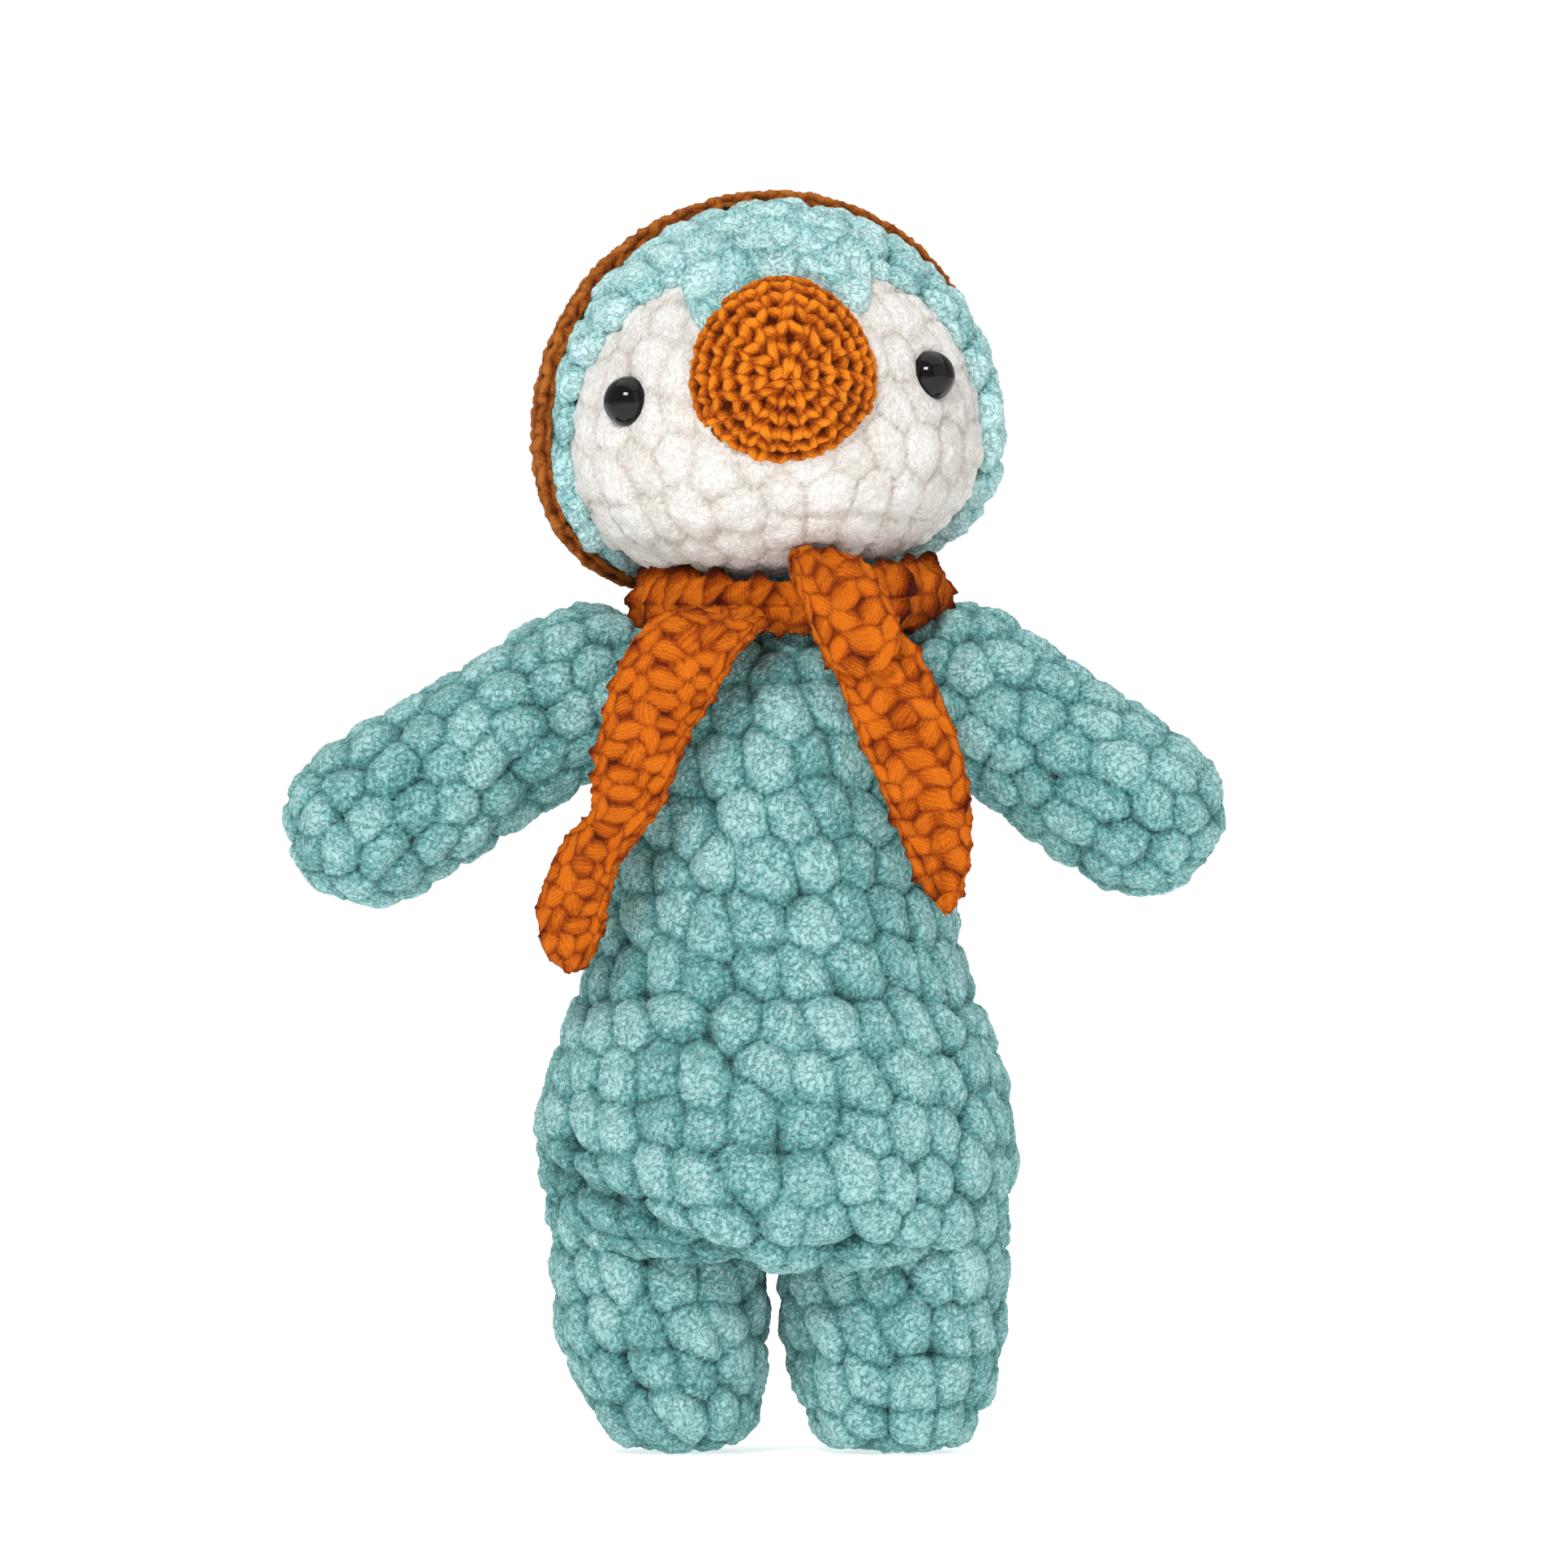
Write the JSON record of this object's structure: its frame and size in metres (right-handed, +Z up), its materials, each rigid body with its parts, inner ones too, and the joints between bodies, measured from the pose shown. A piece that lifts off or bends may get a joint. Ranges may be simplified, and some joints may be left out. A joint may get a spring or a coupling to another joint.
{
  "type": "plush penguin",
  "caption": "Stuffed crocheted penguin standing on two short legs, with a hooded head, a cap, arms held out and a knotted neck scarf.",
  "frame": {"origin": "on the floor, under the middle of the whole toy", "axes": "+Z up along the standing height; the face looks along -Y; +X is to the right as seen from the front"},
  "size_m": [0.1862, 0.0985, 0.2488],
  "materials": {
    "teal_chenille": "plush chenille crochet",
    "white_chenille": "plush chenille crochet",
    "orange_yarn": "matte worsted crochet",
    "black_eye": "polished",
    "nylon_washer": "satin",
    "polyester_fibre": "loose fibre"
  },
  "bodies": {
    "torso": {"torso_shell": "teal_chenille", "torso_stuffing": "polyester_fibre", "scarf_wrap": "orange_yarn", "scarf_knot": "orange_yarn"},
    "neck_core": {"neck_stuffing": "polyester_fibre"},
    "neck_ring": {"neck_seam": "teal_chenille"},
    "head": {"head_shell": "white_chenille", "head_stuffing": "polyester_fibre", "hood": "teal_chenille", "forehead_patch": "teal_chenille", "cap": "orange_yarn", "beak_shell": "orange_yarn", "beak_stuffing": "polyester_fibre", "eye_left": "black_eye", "eye_right": "black_eye", "eye_washer_left": "nylon_washer", "eye_washer_right": "nylon_washer"},
    "shoulder_left": {"arm_left_seam": "teal_chenille"},
    "arm_left": {"arm_left_shell": "teal_chenille", "arm_left_stuffing": "polyester_fibre"},
    "shoulder_right": {"arm_right_seam": "teal_chenille"},
    "arm_right": {"arm_right_shell": "teal_chenille", "arm_right_stuffing": "polyester_fibre"},
    "leg_left": {"leg_left_shell": "teal_chenille", "leg_left_stuffing": "polyester_fibre"},
    "leg_right": {"leg_right_shell": "teal_chenille", "leg_right_stuffing": "polyester_fibre"},
    "tail_left": {"scarf_tail_left": "orange_yarn"},
    "tail_right": {"scarf_tail_right": "orange_yarn"}
  },
  "joints": [
    {"name": "head_turn", "type": "hinge", "parent": "torso", "child": "neck_core", "pos_m": [0.006, 0.003, 0.171], "axis": [0, 0, 1], "range_deg": [-40, 40], "stiffness_Nm_per_rad": 0.4},
    {"name": "head_tilt", "type": "hinge", "parent": "neck_core", "child": "neck_ring", "pos_m": [0.006, 0.003, 0.171], "axis": [0, 1, 0], "range_deg": [-5, 8], "stiffness_Nm_per_rad": 0.6},
    {"name": "head_nod", "type": "hinge", "parent": "neck_ring", "child": "head", "pos_m": [0.006, 0.003, 0.171], "axis": [1, 0, 0], "range_deg": [-8, 8], "stiffness_Nm_per_rad": 0.6},
    {"name": "arm_left_raise", "type": "hinge", "parent": "torso", "child": "shoulder_left", "pos_m": [-0.0335, 0.003, 0.1505], "axis": [0, 1, 0], "range_deg": [-8, 40], "stiffness_Nm_per_rad": 0.25},
    {"name": "arm_left_swing", "type": "hinge", "parent": "shoulder_left", "child": "arm_left", "pos_m": [-0.0335, 0.003, 0.1505], "axis": [0, 0, 1], "range_deg": [-15, 18], "stiffness_Nm_per_rad": 0.25},
    {"name": "arm_right_raise", "type": "hinge", "parent": "torso", "child": "shoulder_right", "pos_m": [0.0415, 0.003, 0.1505], "axis": [0, -1, 0], "range_deg": [-8, 40], "stiffness_Nm_per_rad": 0.25},
    {"name": "arm_right_swing", "type": "hinge", "parent": "shoulder_right", "child": "arm_right", "pos_m": [0.0415, 0.003, 0.1505], "axis": [0, 0, -1], "range_deg": [-15, 18], "stiffness_Nm_per_rad": 0.25},
    {"name": "leg_left_swing", "type": "hinge", "parent": "torso", "child": "leg_left", "pos_m": [-0.0196, 0.003, 0.046], "axis": [-1, 0, 0], "range_deg": [-15, 25], "stiffness_Nm_per_rad": 1},
    {"name": "leg_right_swing", "type": "hinge", "parent": "torso", "child": "leg_right", "pos_m": [0.0278, 0.003, 0.046], "axis": [-1, 0, 0], "range_deg": [-15, 25], "stiffness_Nm_per_rad": 1},
    {"name": "tail_left_lift", "type": "hinge", "parent": "torso", "child": "tail_left", "pos_m": [-0.012, -0.0315, 0.158], "axis": [-1, 0, 0], "range_deg": [0, 70]},
    {"name": "tail_right_lift", "type": "hinge", "parent": "torso", "child": "tail_right", "pos_m": [0.021, -0.0315, 0.158], "axis": [-1, 0, 0], "range_deg": [0, 70]}
  ]
}
